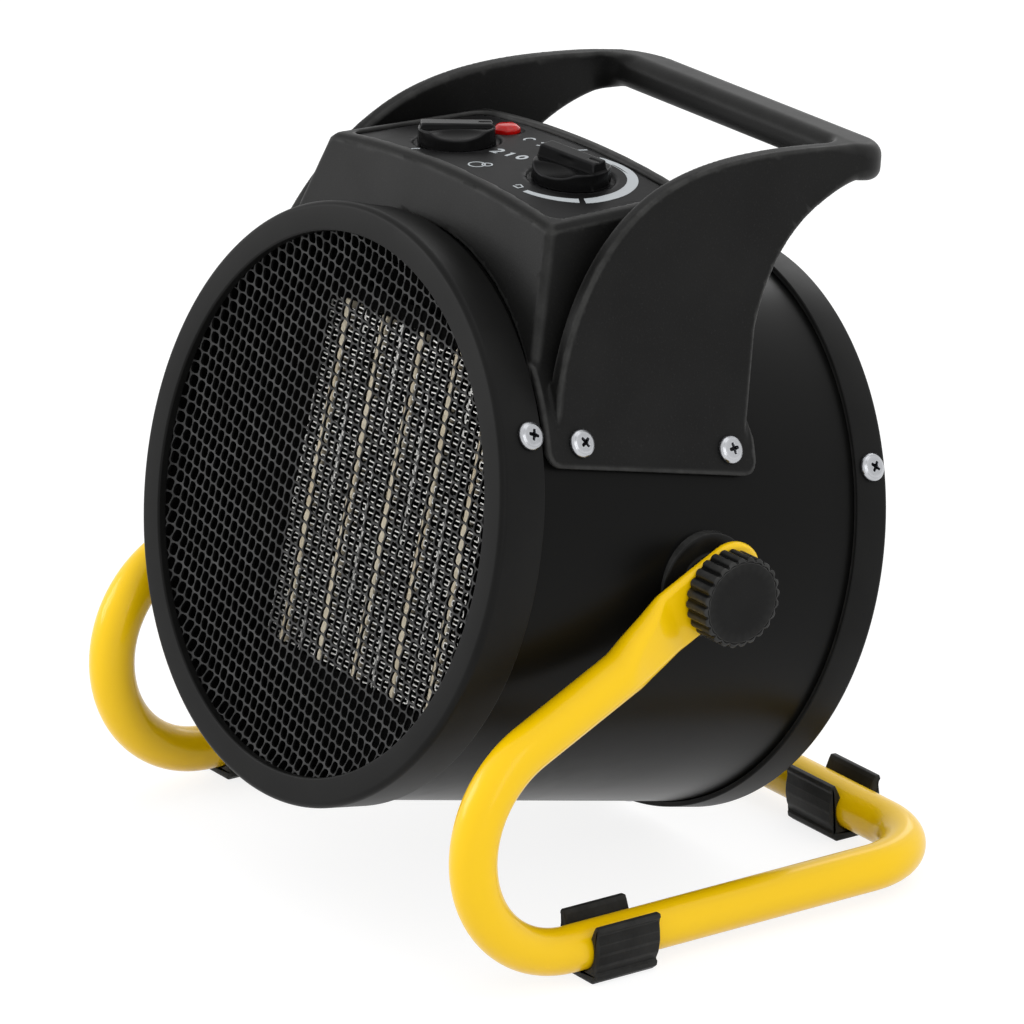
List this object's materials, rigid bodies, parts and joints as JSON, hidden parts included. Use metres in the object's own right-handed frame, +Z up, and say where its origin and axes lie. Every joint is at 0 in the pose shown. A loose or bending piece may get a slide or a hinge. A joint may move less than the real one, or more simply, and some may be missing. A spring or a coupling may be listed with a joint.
{
  "type": "workshop heater",
  "caption": "Drum-shaped electric fan heater with a ceramic element behind a round mesh, a moulded handle housing with dials and a tilting bent-tube floor stand",
  "frame": {"origin": "centre of the bounding box at floor level, under the heater", "axes": "+Z up, the heater blows towards -Y, its right side as seen from the front is +X, tilted nose-up as in use"},
  "size_m": [0.241, 0.2186, 0.2597],
  "materials": {
    "black_moulding": "finely textured satin black moulding",
    "black_drum_paint": "semi-gloss black powder coat on sheet steel",
    "yellow_paint": "gloss yellow powder coat on steel tube",
    "rubber": "matt black rubber",
    "zinc_steel": "bright zinc plate",
    "mesh_steel": "dark grey coated expanded steel",
    "aluminium_fins": "bright folded foil",
    "ceramic": "unglazed cream ceramic",
    "red_lens": "clear red lens",
    "fan_plastic": "dark grey moulding"
  },
  "bodies": {
    "stand": {"stand_tube": "yellow_paint", "front_foot_right": "rubber", "rear_foot_right": "rubber", "front_foot_left": "rubber", "rear_foot_left": "rubber"},
    "heater": {"drum": "black_drum_paint", "front_bezel": "black_moulding", "front_mesh": "mesh_steel", "rear_ring": "black_drum_paint", "rear_guard": "black_drum_paint", "element_baffle": "black_drum_paint", "element_rail_top": "black_moulding", "element_rail_bottom": "black_moulding", "ceramic_strip_1": "ceramic", "ceramic_strip_2": "ceramic", "ceramic_strip_3": "ceramic", "ceramic_strip_4": "ceramic", "ceramic_strip_5": "ceramic", "fin_pack_1": "aluminium_fins", "fin_pack_2": "aluminium_fins", "fin_pack_3": "aluminium_fins", "fin_pack_4": "aluminium_fins", "thermal_cutout": "ceramic", "fan_motor": "zinc_steel", "motor_bracket": "zinc_steel", "handle_housing": "black_moulding", "control_panel": "black_moulding", "pilot_lamp": "red_lens", "terminal_block": "ceramic", "cord_gland": "rubber", "thermostat_body": "fan_plastic", "switch_body": "fan_plastic", "pivot_spacer_right": "black_moulding", "clamp_nut_right": "zinc_steel", "flange_screw_front_right": "zinc_steel", "flange_screw_rear_right": "zinc_steel", "pivot_spacer_left": "black_moulding", "clamp_nut_left": "zinc_steel", "flange_screw_front_left": "zinc_steel", "flange_screw_rear_left": "zinc_steel", "bezel_screw_right": "zinc_steel", "rear_ring_screw_right": "zinc_steel", "bezel_screw_left": "zinc_steel", "rear_ring_screw_left": "zinc_steel", "bezel_screw_bottom": "zinc_steel", "rear_ring_screw_bottom": "zinc_steel"},
    "fan": {"fan_impeller": "fan_plastic", "rotor_shaft": "zinc_steel"},
    "clamp_right": {"clamp_stud_right": "zinc_steel", "clamp_knob_right": "black_moulding"},
    "clamp_left": {"clamp_stud_left": "zinc_steel", "clamp_knob_left": "black_moulding"},
    "thermostat_dial": {"thermostat_knob": "black_moulding", "thermostat_spindle": "zinc_steel"},
    "switch_dial": {"switch_knob": "black_moulding", "switch_spindle": "zinc_steel"}
  },
  "joints": [
    {"name": "body_tilt", "type": "hinge", "parent": "stand", "child": "heater", "pos_m": [0, 0.00102, 0.125], "axis": [1, 0, 0], "range_deg": [-4, 20]},
    {"name": "fan_spin", "type": "hinge", "parent": "heater", "child": "fan", "pos_m": [0, -0.00572, 0.12242], "axis": [0, 0.9755, -0.2198], "continuous": true},
    {"name": "clamp_right_turn", "type": "hinge", "parent": "heater", "child": "clamp_right", "pos_m": [0, 0.00102, 0.125], "axis": [1, 0, 0], "range_deg": [0, 360]},
    {"name": "clamp_left_turn", "type": "hinge", "parent": "heater", "child": "clamp_left", "pos_m": [0, 0.00102, 0.125], "axis": [-1, 0, 0], "range_deg": [0, 360]},
    {"name": "thermostat_turn", "type": "hinge", "parent": "heater", "child": "thermostat_dial", "pos_m": [0.0272, -0.00405, 0.24855], "axis": [0.0583, 0.0122, 0.9982], "range_deg": [-150, 120]},
    {"name": "switch_turn", "type": "hinge", "parent": "heater", "child": "switch_dial", "pos_m": [-0.0272, -0.01222, 0.24865], "axis": [-0.0583, 0.0122, 0.9982], "range_deg": [-90, 45]}
  ]
}
